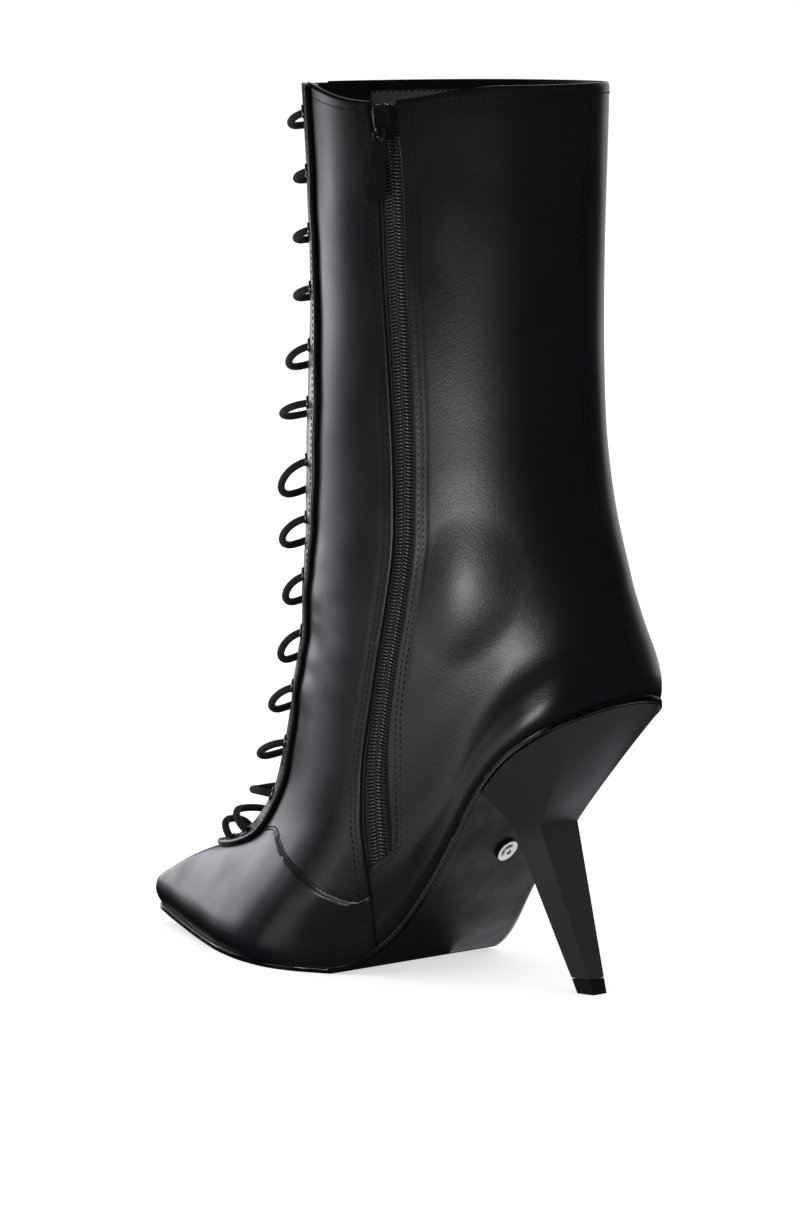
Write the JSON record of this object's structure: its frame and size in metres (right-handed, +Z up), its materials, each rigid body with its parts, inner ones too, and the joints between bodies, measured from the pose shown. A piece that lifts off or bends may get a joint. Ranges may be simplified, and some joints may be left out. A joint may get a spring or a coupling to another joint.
{
  "type": "lace up ankle boot",
  "caption": "Pointed high-heeled right ankle boot with a keel-fronted shaft, front lacing through eyelets, an inside zip with a pull tab, a kinked slanting heel and a thin sole.",
  "frame": {"origin": "on the floor under the middle of the forefoot tread, on the boot's long axis", "axes": "+Z up, -X towards the toe, +X towards the heel, -Y towards the inner side with the zip, +Y towards the outer side"},
  "size_m": [0.2352, 0.0856, 0.3085],
  "materials": {
    "upper_leather": "smooth black leather with a soft satin shine",
    "lining": "dark grey textile",
    "heel_cover": "satin black cover",
    "sole_rubber": "dark satin tread with a glossy edge",
    "top_piece_rubber": "black hard rubber",
    "stud_metal": "bright plated metal",
    "eyelet_metal": "dark plated metal",
    "slider_metal": "glossy black",
    "lace_cord": "matte braided cord",
    "zip_fabric": "woven tape",
    "zip_nylon": "nylon coil"
  },
  "bodies": {
    "boot": {"outsole": "sole_rubber", "insole": "lining", "upper": "upper_leather", "eyestay": "upper_leather", "tongue": "upper_leather", "heel": "heel_cover", "top_piece": "top_piece_rubber", "sole_stud": "stud_metal", "lace_01": "lace_cord", "lace_02": "lace_cord", "lace_03": "lace_cord", "lace_04": "lace_cord", "lace_05": "lace_cord", "lace_06": "lace_cord", "lace_07": "lace_cord", "lace_08": "lace_cord", "lace_09": "lace_cord", "lace_10": "lace_cord", "lace_11": "lace_cord", "lace_12": "lace_cord", "lace_13": "lace_cord", "lace_14": "lace_cord", "lace_15": "lace_cord", "zip_tape": "zip_fabric", "zip_coil": "zip_nylon", "zip_slider": "slider_metal", "eyelet_inner_01": "eyelet_metal", "eyelet_inner_02": "eyelet_metal", "eyelet_inner_03": "eyelet_metal", "eyelet_inner_04": "eyelet_metal", "eyelet_inner_05": "eyelet_metal", "eyelet_inner_06": "eyelet_metal", "eyelet_inner_07": "eyelet_metal", "eyelet_inner_08": "eyelet_metal", "eyelet_inner_09": "eyelet_metal", "eyelet_inner_10": "eyelet_metal", "eyelet_inner_11": "eyelet_metal", "eyelet_inner_12": "eyelet_metal", "eyelet_inner_13": "eyelet_metal", "eyelet_inner_14": "eyelet_metal", "eyelet_inner_15": "eyelet_metal", "eyelet_outer_01": "eyelet_metal", "eyelet_outer_02": "eyelet_metal", "eyelet_outer_03": "eyelet_metal", "eyelet_outer_04": "eyelet_metal", "eyelet_outer_05": "eyelet_metal", "eyelet_outer_06": "eyelet_metal", "eyelet_outer_07": "eyelet_metal", "eyelet_outer_08": "eyelet_metal", "eyelet_outer_09": "eyelet_metal", "eyelet_outer_10": "eyelet_metal", "eyelet_outer_11": "eyelet_metal", "eyelet_outer_12": "eyelet_metal", "eyelet_outer_13": "eyelet_metal", "eyelet_outer_14": "eyelet_metal", "eyelet_outer_15": "eyelet_metal"},
    "pull_tab": {"pull_tab": "slider_metal"}
  },
  "joints": [
    {"name": "pull_tab_swing", "type": "hinge", "parent": "boot", "child": "pull_tab", "pos_m": [0.03976, -0.03378, 0.29191], "axis": [-0.9925, -0.0044, -0.1218], "range_deg": [0, 140]}
  ]
}
